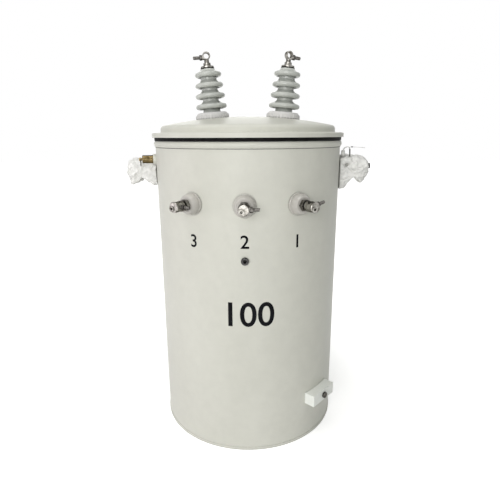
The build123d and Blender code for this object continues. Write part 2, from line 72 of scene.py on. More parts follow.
def sideways(azimuth):
    """The level direction square to outward, to the right as seen from outside."""
    return Vector((math.cos(math.radians(azimuth)), math.sin(math.radians(azimuth)), 0))


def between(one, two, turn):
    """The direction that lies this many radians round from one towards two."""
    return one * math.cos(turn) + two * math.sin(turn)


def on_wall(azimuth, across, height):
    """A point on the tank's skin, straight behind one that is this far to the side."""
    reach = math.sqrt(TANK_RADIUS**2 - across**2)
    return outward(azimuth) * reach + sideways(azimuth) * across + UP * height


def hv_frame(side):
    """A high-voltage bushing's axis, the direction across it, and its points by height above the dome."""
    lean = math.asin(HV_REACH / DOME_RADIUS)
    along = Vector((side * math.sin(lean), 0, math.cos(lean)))
    across = Vector((side * math.cos(lean), 0, -math.sin(lean)))
    middle = Vector((0, 0, LID_APEX - DOME_RADIUS))
    return along, across, lambda height: middle + along * (DOME_RADIUS + height)


# Materials
WHITE = (1, 1, 1)
RAY_SAMPLES = 6
MIX_FACTOR, MIX_ONE, MIX_TWO, MIX_RESULT = 0, 6, 7, 2


def nodes_of(name):
    """A new material, its tree, its shader and its texture coordinates."""
    material = bpy.data.materials.new(name)
    material.use_nodes = True
    tree = material.node_tree
    shader = tree.nodes["Principled BSDF"]
    place = tree.nodes.new("ShaderNodeTexCoord")
    return material, tree, shader, place


def noise_over(tree, place, scale, detail, roughness, distortion=0.0, stretch=None):
    """Noise over the object's own coordinates, which stretch multiplies along each axis."""
    node = tree.nodes.new("ShaderNodeTexNoise")
    node.inputs["Scale"].default_value = scale
    node.inputs["Detail"].default_value = detail
    node.inputs["Roughness"].default_value = roughness
    node.inputs["Distortion"].default_value = distortion
    source = place.outputs["Object"]
    if stretch:
        mapping = tree.nodes.new("ShaderNodeMapping")
        mapping.inputs["Scale"].default_value = stretch
        tree.links.new(source, mapping.inputs["Vector"])
        source = mapping.outputs["Vector"]
    tree.links.new(source, node.inputs["Vector"])
    return node.outputs["Fac"]


def ramp_between(tree, source, low, high, start=0.35, end=0.65):
    """A colour that goes from low to high while the source goes from start to end."""
    ramp = tree.nodes.new("ShaderNodeValToRGB")
    ramp.color_ramp.elements[0].position = start
    ramp.color_ramp.elements[0].color = (*low, 1)
    ramp.color_ramp.elements[1].position = end
    ramp.color_ramp.elements[1].color = (*high, 1)
    tree.links.new(source, ramp.inputs["Fac"])
    return ramp.outputs["Color"]


def spread(tree, source, low, high, start=0.0, end=1.0):
    """A value that goes from low to high while the source goes from start to end."""
    node = tree.nodes.new("ShaderNodeMapRange")
    node.inputs["From Min"].default_value = start
    node.inputs["From Max"].default_value = end
    node.inputs["To Min"].default_value = low
    node.inputs["To Max"].default_value = high
    tree.links.new(source, node.inputs["Value"])
    return node.outputs["Result"]


def multiplied(tree, one, two):
    """One colour times another."""
    node = tree.nodes.new("ShaderNodeMix")
    node.data_type = "RGBA"
    node.blend_type = "MULTIPLY"
    node.inputs[MIX_FACTOR].default_value = 1.0
    tree.links.new(one, node.inputs[MIX_ONE])
    tree.links.new(two, node.inputs[MIX_TWO])
    return node.outputs[MIX_RESULT]


def bumped(tree, source, distance, strength, below=None):
    """A normal with this relief, on top of the relief below it."""
    node = tree.nodes.new("ShaderNodeBump")
    node.inputs["Distance"].default_value = distance
    node.inputs["Strength"].default_value = strength
    tree.links.new(source, node.inputs["Height"])
    if below:
        tree.links.new(below, node.inputs["Normal"])
    return node.outputs["Normal"]


def rounded(tree, radius):
    """Sharp edges catch the light as if they were slightly rounded."""
    node = tree.nodes.new("ShaderNodeBevel")
    node.samples = RAY_SAMPLES
    node.inputs["Radius"].default_value = radius
    return node.outputs["Normal"]


def shaded_crevices(tree, tone, distance, deep):
    """Painted shade: the colour darkens by ambient occlusion where surfaces meet and shade falls."""
    near = tree.nodes.new("ShaderNodeAmbientOcclusion")
    near.samples = RAY_SAMPLES
    near.inputs["Distance"].default_value = distance
    return multiplied(tree, tone, ramp_between(tree, near.outputs["AO"], deep, WHITE, 0.25, 0.85))


def dress(tree, shader, colour, roughness, normal, values):
    """Links a look's colour, roughness and normal to its shader, and sets its constant values."""
    for name, source in {"Base Color": colour, "Roughness": roughness, "Normal": normal}.items():
        tree.links.new(source, shader.inputs[name])
    for name, value in values.items():
        shader.inputs[name].default_value = value


def paint(name, low, high, roughness, peel=0.00006):
    """Sprayed enamel: slow changes of tone, fine orange peel and a little dust."""
    material, tree, shader, place = nodes_of(name)
    slow = noise_over(tree, place, scale=2.6, detail=3, roughness=0.5, distortion=0.6, stretch=(1, 1, 0.45))
    cloud = noise_over(tree, place, scale=34, detail=5, roughness=0.6)
    dust = noise_over(tree, place, scale=420, detail=3, roughness=0.7)
    tone = ramp_between(tree, slow, low, high, 0.3, 0.7)
    tone = multiplied(tree, tone, ramp_between(tree, cloud, (0.965, 0.965, 0.965), WHITE))
    tone = multiplied(tree, tone, ramp_between(tree, dust, (0.93, 0.925, 0.915), WHITE, 0.27, 0.34))
    # Painted shade where surfaces meet
    tone = shaded_crevices(tree, tone, 0.006, (0.55, 0.56, 0.55))
    rough = spread(tree, cloud, roughness - 0.07, roughness + 0.07)
    fine = noise_over(tree, place, scale=260, detail=2, roughness=0.4)
    broad = noise_over(tree, place, scale=9, detail=2, roughness=0.4)
    normal = bumped(tree, broad, 0.0006, 0.5, rounded(tree, 0.0009))
    normal = bumped(tree, fine, peel, 0.7, normal)
    values = {"Specular IOR Level": 0.2, "Coat Weight": 0.04, "Coat Roughness": 0.25}
    dress(tree, shader, tone, rough, normal, values)
    return material


def glaze(name, low, high, roughness):
    """Glazed porcelain: pooled glaze tone, fine pits and a wet gloss."""
    material, tree, shader, place = nodes_of(name)
    pooled = noise_over(tree, place, scale=28, detail=4, roughness=0.55, distortion=0.8)
    pits = noise_over(tree, place, scale=900, detail=2, roughness=0.6)
    tone = ramp_between(tree, pooled, low, high, 0.3, 0.7)
    tone = multiplied(tree, tone, ramp_between(tree, pits, (0.8, 0.8, 0.79), WHITE, 0.24, 0.31))
    # Painted shade where surfaces meet
    tone = shaded_crevices(tree, tone, 0.014, (0.5, 0.51, 0.5))
    rough = spread(tree, pooled, roughness, roughness + 0.14)
    normal = bumped(tree, pooled, 0.0002, 0.35)
    values = {"Specular IOR Level": 0.3, "Coat Weight": 0.2, "Coat Roughness": 0.1}
    dress(tree, shader, tone, rough, normal, values)
    return material


def metal(name, low, high, roughness, grain, scale):
    """Cast or plated metal: mottled plating, tool grain and dull patches."""
    material, tree, shader, place = nodes_of(name)
    mottle = noise_over(tree, place, scale=scale, detail=6, roughness=0.62, distortion=0.5)
    lines = noise_over(tree, place, scale=1500, detail=2, roughness=0.5, stretch=(1, 1, 0.12))
    tone = ramp_between(tree, mottle, low, high, 0.36, 0.62)
    # Painted shade where surfaces meet
    tone = shaded_crevices(tree, tone, 0.012, (0.03, 0.028, 0.025))
    rough = spread(tree, mottle, roughness + 0.14, roughness - 0.1)
    normal = bumped(tree, mottle, grain * 4, 0.6, rounded(tree, 0.0005))
    normal = bumped(tree, lines, grain, 0.5, normal)
    values = {"Metallic": 1.0, "Specular Tint": (0.16, 0.155, 0.15, 1)}
    dress(tree, shader, tone, rough, normal, values)
    return material


def rubber(name, low, high, roughness=0.62, specular=0.06):
    """Rubber, plastic or a flat paint: one tone with grime and a fine grain."""
    material, tree, shader, place = nodes_of(name)
    grime = noise_over(tree, place, scale=60, detail=5, roughness=0.6)
    grain = noise_over(tree, place, scale=1300, detail=3, roughness=0.6)
    tone = ramp_between(tree, grime, low, high)
    rough = spread(tree, grime, roughness - 0.1, roughness + 0.12)
    normal = bumped(tree, grain, 0.00008, 0.7)
    dress(tree, shader, tone, rough, normal, {"Specular IOR Level": specular})
    return material


def foam(name, low, high):
    """Thin packing foam: closed cells, faint stretch marks and a dull skin that lets light in."""
    material, tree, shader, place = nodes_of(name)
    cloud = noise_over(tree, place, scale=36, detail=4, roughness=0.6, distortion=0.7)
    cells = tree.nodes.new("ShaderNodeTexVoronoi")
    cells.inputs["Scale"].default_value = 620
    tree.links.new(place.outputs["Object"], cells.inputs["Vector"])
    marks = noise_over(tree, place, scale=90, detail=3, roughness=0.6, distortion=1.2, stretch=(1, 1, 0.3))
    tone = ramp_between(tree, cloud, low, high, 0.3, 0.7)
    # Painted shade in the folds and where surfaces meet
    tone = shaded_crevices(tree, tone, 0.009, (0.5, 0.5, 0.48))
    rough = spread(tree, cloud, 0.5, 0.75)
    normal = bumped(tree, marks, 0.0022, 0.8)
    normal = bumped(tree, cells.outputs["Distance"], 0.0004, 0.6, normal)
    values = {
        "Specular IOR Level": 0.25, "Sheen Weight": 0.1,
        "Subsurface Weight": 0.2, "Subsurface Radius": (0.006, 0.006, 0.006),
    }
    dress(tree, shader, tone, rough, normal, values)
    return material


LOOKS = {
    "tank_paint": paint("tank_paint", (0.60, 0.60, 0.54), (0.66, 0.66, 0.60), 0.42),
    "collar_paint": paint("collar_paint", (0.60, 0.595, 0.59), (0.68, 0.67, 0.66), 0.45, 0.0001),
    "grey_porcelain": glaze("grey_porcelain", (0.44, 0.455, 0.43), (0.53, 0.545, 0.51), 0.26),
    "pale_porcelain": glaze("pale_porcelain", (0.43, 0.415, 0.385), (0.53, 0.51, 0.475), 0.22),
    "black_rubber": rubber("black_rubber", (0.003, 0.003, 0.003), (0.009, 0.009, 0.009)),
    "tinned_metal": metal("tinned_metal", (0.11, 0.105, 0.09), (0.42, 0.405, 0.375), 0.3, 0.00005, 120),
    "bolt_steel": metal("bolt_steel", (0.05, 0.047, 0.042), (0.20, 0.19, 0.178), 0.3, 0.00004, 240),
    "valve_brass": metal("valve_brass", (0.05, 0.037, 0.015), (0.19, 0.142, 0.068), 0.22, 0.00003, 60),
    "ring_steel": metal("ring_steel", (0.02, 0.019, 0.018), (0.07, 0.067, 0.063), 0.32, 0.00004, 240),
    "amber_oil": rubber("amber_oil", (0.34, 0.20, 0.05), (0.42, 0.26, 0.08), 0.25, 0.4),
    "white_foam": foam("white_foam", (0.72, 0.72, 0.70), (0.87, 0.865, 0.845)),
}
BARE_STEEL = metal("bare_steel", (0.025, 0.025, 0.025), (0.09, 0.088, 0.085), 0.3, 0.00004, 300)
BOX_PAINT = paint("box_paint", (0.82, 0.84, 0.80), (0.88, 0.90, 0.86), 0.46)
TIE_PLASTIC = rubber("tie_plastic", (0.50, 0.50, 0.48), (0.62, 0.62, 0.60), 0.4, 0.3)
# Dark grey for the painted shadow under the tank's rim
RIM_SHADOW_LOOK = rubber("painted_rim_shadow", (0.10, 0.10, 0.095), (0.17, 0.17, 0.16), 0.6, 0.15)
LETTERING = rubber("black_lettering", (0.003, 0.003, 0.004), (0.008, 0.008, 0.010), 0.5, 0.05)

OWN_LOOKS = {"lower_box": BOX_PAINT, "ground_boss": BARE_STEEL}
for part in frame["record"]["subparts"]:
    for holder in frame["nodes"][part["node"]].material_slots:
        holder.link = "OBJECT"
        holder.material = OWN_LOOKS.get(part["node"], LOOKS[part["material_slot"]])


# Building helpers
def in_scene(name, data):
    """A new object that is in the scene."""
    thing = bpy.data.objects.new(name, data)
    bpy.context.scene.collection.objects.link(thing)
    return thing


def piece_from(name, shape, look, body=ROOT):
    """The bmesh as a smooth piece with its look, which rides on the body."""
    mesh = bpy.data.meshes.new(name)
    shape.to_mesh(mesh)
    shape.free()
    piece = in_scene(name, mesh)
    for face in mesh.polygons:
        face.use_smooth = True
    mesh.materials.append(look)
    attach(piece, body)
    return piece


def apply_modifiers(piece):
    """Gives the piece the mesh that its modifiers make, and takes them off."""
    graph = bpy.context.evaluated_depsgraph_get()
    done = bpy.data.meshes.new_from_object(piece.evaluated_get(graph))
    old = piece.data
    piece.modifiers.clear()
    piece.data = done
    bpy.data.meshes.remove(old)
    for face in piece.data.polygons:
        face.use_smooth = True


def add_ring(shape, centre, side, other, radius, sides):
    """New points on a circle in the plane of side and other."""
    turns = [2 * math.pi * step / sides for step in range(sides)]
    return [shape.verts.new(centre + between(side, other, turn) * radius) for turn in turns]


def add_tube(shape, path, radius_at, sides, closed=False):
    """A round section carried along a path, into an open bmesh."""
    rings = []
    count = len(path)
    side = None
    for index, point in enumerate(path):
        before = path[index - 1] if index or closed else point
        after = path[(index + 1) % count] if index < count - 1 or closed else point
        along = (after - before).normalized()
        if side is None:
            side = along.orthogonal().normalized()
        side = (side - along * side.dot(along)).normalized()
        radius = radius_at(index / max(count - 1, 1))
        rings.append(add_ring(shape, point, side, along.cross(side), radius, sides))
    pairs = list(zip(rings, rings[1:]))
    if closed:
        pairs.append((rings[-1], rings[0]))
    for one, two in pairs:
        offset = 0
        if one is rings[-1]:
            offset = min(range(sides), key=lambda n: (two[n].co - one[0].co).length)
        for step in range(sides):
            after = (step + 1) % sides
            opposite = (two[(after + offset) % sides], two[(step + offset) % sides])
            shape.faces.new((one[step], one[after], *opposite))
    if not closed:
        shape.faces.new(list(reversed(rings[0])))
        shape.faces.new(rings[-1])


def add_lathe(shape, foot, along, profile, sides):
    """A turned form: its profile is a list of radius and height, from axis to axis."""
    side = along.orthogonal().normalized()
    other = along.cross(side)
    rings = []
    for radius, height in profile:
        centre = foot + along * height
        if radius > 0:
            rings.append(add_ring(shape, centre, side, other, radius, sides))
        else:
            rings.append([shape.verts.new(centre)])
    for one, two in zip(rings, rings[1:]):
        for step in range(sides):
            after = (step + 1) % sides
            corners = [one[step % len(one)], one[after % len(one)]]
            corners += [two[after % len(two)], two[step % len(two)]]
            unique = list(dict.fromkeys(corners))
            if len(unique) > 2:
                shape.faces.new(unique)


def along_path(points, step):
    """The polyline through these points, cut into even short steps."""
    path = [points[0]]
    for start, end in zip(points, points[1:]):
        pieces = max(1, round((end - start).length / step))
        for index in range(pieces):
            path.append(start.lerp(end, (index + 1) / pieces))
    return path


def curved(points, resolution):
    """The smooth curve that starts and ends with the given points, as a list of points."""
    curve = bpy.data.curves.new("strap_path", "CURVE")
    curve.dimensions = "3D"
    spline = curve.splines.new("NURBS")
    spline.points.add(len(points) - 1)
    for place, point in zip(spline.points, points):
        place.co = (*point, 1)
    spline.order_u = 3
    spline.use_endpoint_u = True
    spline.resolution_u = resolution
    holder = bpy.data.objects.new("strap_path", curve)
    mesh = bpy.data.meshes.new_from_object(holder)
    path = [vertex.co.copy() for vertex in mesh.vertices]
    bpy.data.objects.remove(holder)
    bpy.data.curves.remove(curve)
    bpy.data.meshes.remove(mesh)
    return path


STRAP_ACROSS = Vector((0, 1, 0))


def add_strap(shape, points, width, thickness, resolution=8):
    """A flat strap along the smooth curve of these points, with its width from front to back."""
    path = curved(points, resolution)
    half = STRAP_ACROSS * width / 2
    rows = []
    for index, point in enumerate(path):
        before = path[max(index - 1, 0)]
        after = path[min(index + 1, len(path) - 1)]
        out = (after - before).cross(STRAP_ACROSS).normalized() * thickness / 2
        corners = (point - half - out, point + half - out, point + half + out, point - half + out)
        rows.append([shape.verts.new(corner) for corner in corners])
    for one, two in zip(rows, rows[1:]):
        for step in range(4):
            after = (step + 1) % 4
            shape.faces.new((one[step], one[after], two[after], two[step]))
    shape.faces.new(list(reversed(rows[0])))
    shape.faces.new(rows[-1])


# Screw threads on the clamp bolts, the high-voltage terminals' necks and the low-voltage studs
THREAD_STEPS, THREAD_SUNK = 20, 0.0001
RIDGE_FOOT, RIDGE_CREST = 0.42, 0.07
NUT_CLEARANCE, THREAD_CUT, BOLT_THREAD_DEPTH = 0.001, 0.0025, 0.0003
HV_BOLT = {"seat": 0.013, "reach": 0.039, "radius": 0.0045, "pitch": 0.0015}
LV_BOLT = {"seat": 0.0155, "reach": 0.040, "radius": 0.004, "pitch": 0.00125}
HV_NECK_LEVEL = 0.1585
HV_NECK = {"length": 0.0075, "radius": 0.007, "pitch": 0.0015, "depth": 0.0004}
LV_STUD = {"length": LV_BARREL_START - LV_NUT_END, "radius": 0.008, "pitch": 0.0016, "depth": 0.0005}


def add_thread(shape, start, along, length, radius, pitch, depth):
    """A screw thread's ridge wound round a shank, lower at both its ends."""
    along = along.normalized()
    side = along.orthogonal().normalized()
    other = along.cross(side)
    total = int(length / pitch * THREAD_STEPS)
    foot = radius - THREAD_SUNK
    previous = None
    for index in range(total + 1):
        out = between(side, other, 2 * math.pi * index / THREAD_STEPS)
        middle = start + along * (index / THREAD_STEPS * pitch)
        crest = radius + depth * min(1.0, index / THREAD_STEPS, (total - index) / THREAD_STEPS)
        ridge = ((-RIDGE_FOOT, foot), (-RIDGE_CREST, crest), (RIDGE_CREST, crest), (RIDGE_FOOT, foot))
        row = [shape.verts.new(middle + along * pitch * share + out * reach) for share, reach in ridge]
        if previous:
            for a, b, c, d in zip(previous, previous[1:], row[1:], row):
                shape.faces.new((a, b, c, d))
        previous = row


def add_bolt_thread(shape, eye, bolt, seat, reach, radius, pitch):
    """The thread on a clamp bolt, from just off its nut to just short of its tip."""
    start = eye + bolt * (seat + NUT_HEIGHT + NUT_CLEARANCE)
    length = reach - seat - NUT_HEIGHT - THREAD_CUT
    add_thread(shape, start, bolt, length, radius, pitch, BOLT_THREAD_DEPTH)


threads = bmesh.new()
for word, side in SIDES.items():
    along, across, at = hv_frame(side)
    bolt = Matrix.Rotation(math.radians(HV_TURN[word]), 3, along) @ across
    add_bolt_thread(threads, at(HV_EYE_LEVEL) - along * HV_BOLT_DROP, bolt, **HV_BOLT)
    add_thread(threads, at(HV_NECK_LEVEL), along, **HV_NECK)
for word, angle in LV_ANGLES.items():
    out = outward(angle)
    add_thread(threads, out * LV_NUT_END + UP * LV_HEIGHT, out, **LV_STUD)
    bolt = Matrix.Rotation(math.radians(LV_TURN[word]), 3, out) @ sideways(angle)
    add_bolt_thread(threads, out * LV_BARREL_MIDDLE + UP * LV_HEIGHT, bolt, **LV_BOLT)
piece_from("terminal_threads", threads, LOOKS["bolt_steel"])

# Weld beads round the boss and the valve's coupling, along the box and the hangers
BEAD, BEAD_SIDES = 0.0016, 10
BOX_BEAD, HANGER_BEAD = BEAD * 0.8, BEAD * 1.9
RIPPLE_LENGTH, RIPPLE_SHARE = 0.0022, 0.07
WANDER_SCALE, WANDER_SHARE = 90, 0.16
ROUND_WELD_STEPS, BOX_TOP_STEPS = 72, 30
BOX_WELD_STEP, BOX_WELD_SEED = 0.002, 3.0
HANGER_WELD_STEP, HANGER_WELD_INSET = 0.0022, 0.002


def weld_bead(shape, path, radius, seed, closed=False):
    """A weld's rippled bead along a path."""
    length = sum((b - a).length for a, b in zip(path, path[1:]))

    def radius_at(share):
        """The bead's radius, by the share of its length."""
        ripple = math.sin(share * length / RIPPLE_LENGTH * math.pi)
        wander = noise.noise(Vector((share * length * WANDER_SCALE, seed, 0)))
        return radius * (1 + RIPPLE_SHARE * ripple + WANDER_SHARE * wander)

    add_tube(shape, path, radius_at, BEAD_SIDES, closed)


welds = bmesh.new()
for azimuth, height, radius in ((0, BOSS_HEIGHT, BOSS_RADIUS), (VALVE_ANGLE, VALVE_HEIGHT, COUPLING_RADIUS)):
    circle = []
    for index in range(ROUND_WELD_STEPS):
        turn = 2 * math.pi * index / ROUND_WELD_STEPS
        circle.append(on_wall(azimuth, math.cos(turn) * radius, height + math.sin(turn) * radius))
    weld_bead(welds, circle, BEAD, azimuth, closed=True)
half = BOX_WIDTH / 2
edge = [on_wall(BOX_ANGLE, -half, BOX_LOW)]
for index in range(BOX_TOP_STEPS + 1):
    edge.append(on_wall(BOX_ANGLE, -half + BOX_WIDTH * index / BOX_TOP_STEPS, BOX_LOW + BOX_HEIGHT))
edge.append(on_wall(BOX_ANGLE, half, BOX_LOW))
weld_bead(welds, along_path(edge, BOX_WELD_STEP), BOX_BEAD, BOX_WELD_SEED)
for middle in HANGER_MIDDLES:
    for side in SIDES.values():
        across = side * HANGER_WIDTH / 2
        low = on_wall(HANGER_ANGLE, across, middle - HANGER_HEIGHT / 2 + HANGER_WELD_INSET)
        high = on_wall(HANGER_ANGLE, across, middle + HANGER_HEIGHT / 2 - HANGER_WELD_INSET)
        weld_bead(welds, along_path([low, high], HANGER_WELD_STEP), HANGER_BEAD, middle + side)
piece_from("weld_beads", welds, LOOKS["tank_paint"])

# Terminal caps: a flat flange on the seal and a narrow neck up to the eye
CAP_SIDES, CAP_SHARP_ANGLE = 48, 40
CAP_NECK_SHARE, CAP_FLANGE = 0.56, 0.0048
CAP_FILLET, CAP_FILLET_STEPS = 0.003, 6
CAP_FOOT_EDGE, CAP_EDGE = 0.0004, 0.0008

for word, side in SIDES.items():
    along, across, at = hv_frame(side)
    foot = at(0)
    corners = [vertex.co - foot for vertex in frame["nodes"]["hv_cap_" + word].data.vertices]
    heights = [corner.dot(along) for corner in corners]
    low, high = min(heights), max(heights)
    wide = max((corner - along * height).length for corner, height in zip(corners, heights))
    neck = wide * CAP_NECK_SHARE
    flange = low + CAP_FLANGE
    profile = [(0, low), (wide - CAP_FOOT_EDGE, low), (wide, low + CAP_FOOT_EDGE)]
    profile += [(wide, flange - CAP_EDGE), (wide - CAP_EDGE, flange)]
    for index in range(CAP_FILLET_STEPS + 1):
        turn = math.pi / 2 * index / CAP_FILLET_STEPS
        inward = CAP_FILLET * (1 - math.sin(turn))
        upward = CAP_FILLET * (1 - math.cos(turn))
        profile.append((neck + inward, flange + upward))
    profile += [(neck, high - CAP_EDGE), (neck - CAP_EDGE, high), (0, high)]
    turned = bmesh.new()
    add_lathe(turned, foot, along, profile, CAP_SIDES)
    bmesh.ops.recalc_face_normals(turned, faces=turned.faces)
    cap = piece_from("terminal_cap_" + word, turned, LOOKS["tinned_metal"])
    sharp = cap.modifiers.new("edges", "EDGE_SPLIT")
    sharp.split_angle = math.radians(CAP_SHARP_ANGLE)
    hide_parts("hv_cap_" + word)

# Painted shadow: a thin dark ring where the rolled rim meets the wall, for the shade under the rim
RIM_SHADOW_HEIGHT, RIM_SHADOW_RADIUS, RIM_SHADOW_STEPS, RIM_SHADOW_SIDES = 0.8776, 0.0008, 240, 6
rim_shadow = bmesh.new()
line = [outward(index * 360 / RIM_SHADOW_STEPS) * TANK_RADIUS + UP * RIM_SHADOW_HEIGHT for index in range(RIM_SHADOW_STEPS)]
add_tube(rim_shadow, line, lambda share: RIM_SHADOW_RADIUS, RIM_SHADOW_SIDES, closed=True)
piece_from("rim_painted_shadow", rim_shadow, RIM_SHADOW_LOOK)

# Faint ribs round the collars, thinner at their tops
RIBS, RIB_RADIUS, RIB_STEP, RIB_SIDES = 34, 0.0018, 0.0028, 8
RIB_TAPER_START, RIB_TAPER_LENGTH, RIB_TAPER = 0.8, 0.2, 0.5
RIB_REACH, RIB_LOW, RIB_HIGH = 0.0488, 0.0005, 0.0108


def rib_radius(share):
    """A rib's radius, by the share of its length."""
    return RIB_RADIUS * (1 - RIB_TAPER * max(0.0, share - RIB_TAPER_START) / RIB_TAPER_LENGTH)


for word, side in SIDES.items():
    along, across, at = hv_frame(side)
    section = across.cross(along)
    drop = DOME_RADIUS - math.sqrt(DOME_RADIUS**2 - RIB_REACH**2)
    ribs = bmesh.new()
    for index in range(RIBS):
        out = between(across, section, 2 * math.pi * index / RIBS)
        path = [at(RIB_LOW - drop) + out * RIB_REACH, at(RIB_HIGH) + out * RIB_REACH]
        add_tube(ribs, along_path(path, RIB_STEP), rib_radius, RIB_SIDES)
    piece_from("collar_ribs_" + word, ribs, LOOKS["collar_paint"])

# Numbers painted on the tank: each one's text, azimuth, middle height and tallness
SMALL_NUMBER, LARGE_NUMBER = 0.036, 0.072
NUMBERS = {
    "number_left": ("3", -30, 0.635, SMALL_NUMBER),
    "number_middle": ("2", 0, 0.6405, SMALL_NUMBER),
    "number_right": ("1", 30, 0.6355, SMALL_NUMBER),
    "number_large": ("100", 3.4, 0.4355, LARGE_NUMBER),
}
STROKE_OFFSET, OUTLINE_RESOLUTION = 0.012, 6
NUMBER_CUT, PAINT_THICKNESS = 0.004, 0.00015


def flat_text(text):
    """The text as a flat bmesh, in the font's own units."""
    curve = bpy.data.curves.new("number_outline", "FONT")
    curve.body = text
    curve.align_x = "CENTER"
    curve.resolution_u = OUTLINE_RESOLUTION
    curve.offset = STROKE_OFFSET
    holder = in_scene("number_outline", curve)
    flat = bpy.data.meshes.new_from_object(holder)
    bpy.data.objects.remove(holder)
    bpy.data.curves.remove(curve)
    shape = bmesh.new()
    shape.from_mesh(flat)
    bpy.data.meshes.remove(flat)
    return shape


def painted_number(name, text, azimuth, middle_height, tall):
    """A number, cut into upright strips so that it bends round the tank."""
    shape = flat_text(text)
    low = min(vertex.co.y for vertex in shape.verts)
    high = max(vertex.co.y for vertex in shape.verts)
    left = min(vertex.co.x for vertex in shape.verts)
    right = max(vertex.co.x for vertex in shape.verts)
    size = tall / (high - low)
    for vertex in shape.verts:
        vertex.co.x = (vertex.co.x - (left + right) / 2) * size
        vertex.co.y = (vertex.co.y - (low + high) / 2) * size
        vertex.co.z = 0
    width = (right - left) * size
    cuts = int(width / NUMBER_CUT)
    for index in range(cuts + 1):
        cut = -width / 2 + width * index / max(cuts, 1)
        everything = shape.verts[:] + shape.edges[:] + shape.faces[:]
        bmesh.ops.bisect_plane(shape, geom=everything, plane_co=(cut, 0, 0), plane_no=(1, 0, 0))
    for vertex in shape.verts:
        turn = azimuth + math.degrees(vertex.co.x / TANK_RADIUS)
        level = middle_height + vertex.co.y
        vertex.co = outward(turn) * (TANK_RADIUS + PAINT_THICKNESS) + UP * level
    piece_from(name, shape, LETTERING)


for name, (text, azimuth, middle_height, tall) in NUMBERS.items():
    painted_number(name, text, azimuth, middle_height, tall)

# Foam wraps: crumpled sheet in place of the plain cushions
FOAM_SEEDS = {"left": 3.7, "right": 11.3}
VOXEL, MERGE_DISTANCE, ROUNDING_PASSES = 0.0032, 0.00002, 46
WALL_GAP, WALL_HOLD = 0.0008, 0.004
SLOT_HALF_WIDTH, SLOT_REACH = 0.0085, 0.0745
FOLD_SCALE, FOLD_SHARPNESS, FOLD_HEIGHT = 26, 3.2, 0.0030
CREASE_SCALE, CREASE_SHARPNESS, CREASE_HEIGHT = 61, 3.0, 0.0016
RUCK_SCALE_LEVEL, RUCK_SCALE_UP, RUCK_HEIGHT = 40, 110, 0.0008
CRUMPLE_SUNK, FILL = 0.0036, 0.0041
ROOT_LEVEL, ROOT_FLARE = 0.800, 0.0050
ROOT_START, ROOT_LENGTH, ROOT_SHARE = 0.001, 0.010, 0.25
PINCH, TIED_REACH = Vector((0.327, 0, 0.790)), 0.011
WAIST = {"left": Vector((0.312, 0, 0.815)), "right": Vector((0.303, 0, 0.828))}
WAIST_DEPTH, WAIST_WIDTH = {"left": 0.0035, "right": 0.0065}, 0.0085
WAIST_SHARE_AT_PINCH, WAIST_SHARE_RISE = 0.75, 2
POCKET, POCKET_DEPTH, POCKET_WIDTH = Vector((0.301, 0, 0.822)), 0.020, 0.0060
FAN_FOLDS, FAN_HEIGHT, FAN_REACH = 9, 0.0024, 0.05
FAN_WANDER, FAN_WANDER_SCALE = 2.5, 30
SLACK, PRESSURE, SIMULATED_FRAMES, FREE_TRAVEL = 0.16, 1.8, 20, 0.0045
SHEET_MASS, STRETCH_STIFFNESS, BEND_STIFFNESS, SHEET_THICKNESS = 0.05, 12, 0.35, 0.0016
SHEAR_STIFFNESS, DAMPING, CLOTH_QUALITY = 4, 4, 6
SOFTENING = 0.3


def bell(distance, width):
    """1 at no distance, and near 0 beyond twice the width."""
    return math.exp(-((distance / width) ** 2))


def crumple(point, seed):
    """How far the crumpled skin stands off the plain one, in metres."""
    fold = 1 - abs(noise.noise(point * FOLD_SCALE + Vector((seed, 0, 0)))) * FOLD_SHARPNESS
    crease = 1 - abs(noise.noise(point * CREASE_SCALE + Vector((0, seed, 0)))) * CREASE_SHARPNESS
    place = Vector((point.x * RUCK_SCALE_LEVEL, point.y * RUCK_SCALE_LEVEL, point.z * RUCK_SCALE_UP))
    ruck = noise.noise(place + Vector((0, 0, seed)))
    return FOLD_HEIGHT * fold + CREASE_HEIGHT * crease + RUCK_HEIGHT * ruck - CRUMPLE_SUNK


def gather(point, word):
    """How far the skin is drawn in at the waist, with folds that run out from it."""
    flat = Vector((abs(point.x), 0, point.z))
    reach = flat - PINCH
    along = WAIST[word] - PINCH
    share = max(0.0, min(1.0, reach.dot(along) / along.length_squared))
    drawn = min(1.0, WAIST_SHARE_AT_PINCH + WAIST_SHARE_RISE * share)
    dent = WAIST_DEPTH[word] * bell((reach - along * share).length, WAIST_WIDTH) * drawn
    pocket = 0.0
    if word == "right" and point.y < 0:
        pocket = POCKET_DEPTH * bell((flat - POCKET).length, POCKET_WIDTH)
    wander = FAN_WANDER * noise.noise(point * FAN_WANDER_SCALE)
    fold = math.sin(math.atan2(reach.z, reach.x) * FAN_FOLDS + wander)
    return -dent - pocket + FAN_HEIGHT * fold * bell(reach.length, FAN_REACH)


def near_lug(point):
    """True inside the slot that the lug fills."""
    return abs(point.y) < SLOT_HALF_WIDTH and abs(point.x) < TANK_RADIUS + SLOT_REACH


def pinned(point):
    """True where the tie, the lug and the wall hold the sheet."""
    tied = (Vector((abs(point.x), 0, point.z)) - PINCH).length < TIED_REACH
    return near_lug(point) or point.xy.length < TANK_RADIUS + WALL_HOLD or tied


def off_the_wall(point):
    """The point itself, or where it goes to stay clear of the tank's wall."""
    if point.xy.length >= TANK_RADIUS + WALL_GAP:
        return point
    flat = Vector((point.x, point.y, 0)).normalized() * (TANK_RADIUS + WALL_GAP)
    return Vector((flat.x, flat.y, point.z))


def hold_group(wrap, name, chosen):
    """A vertex group of the points for which chosen is true."""
    group = wrap.vertex_groups.new(name=name)
    for vertex in wrap.data.vertices:
        if chosen(vertex.co):
            group.add([vertex.index], 1.0, "REPLACE")


